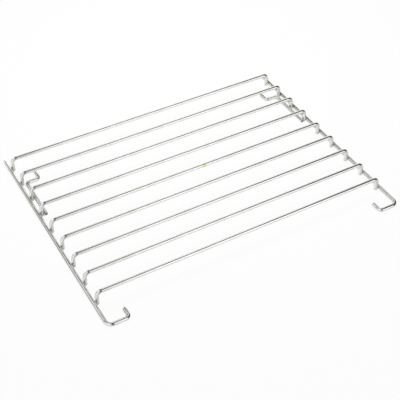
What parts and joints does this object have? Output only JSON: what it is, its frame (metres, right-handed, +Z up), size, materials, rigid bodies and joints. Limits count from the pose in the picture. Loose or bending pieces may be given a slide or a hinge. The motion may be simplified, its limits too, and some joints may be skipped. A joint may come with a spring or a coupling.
{
  "type": "oven shelf support",
  "caption": "Welded wire side rack for an oven: bowed runners between uprights carry the shelves, and hooked wire prongs hang it on the oven wall.",
  "frame": {"origin": "centre of the rack's outline, on the surface that its leg ends rest on", "axes": "+X along the runners, +Y from the hooked ends of the uprights to their plain ends, +Z up from the legs to the runners"},
  "size_m": [0.413, 0.323, 0.021],
  "materials": {
    "plated_wire": "bright plated round steel wire, with brown heat tint at the welds"
  },
  "bodies": {
    "root": {"left_upright": "plated_wire", "right_upright": "plated_wire", "left_lower_hook": "plated_wire", "right_lower_hook": "plated_wire", "runner_1": "plated_wire", "runner_2": "plated_wire", "runner_3": "plated_wire", "runner_4": "plated_wire", "runner_5": "plated_wire", "runner_6": "plated_wire", "runner_7": "plated_wire", "runner_8": "plated_wire", "runner_9": "plated_wire"}
  },
  "joints": []
}
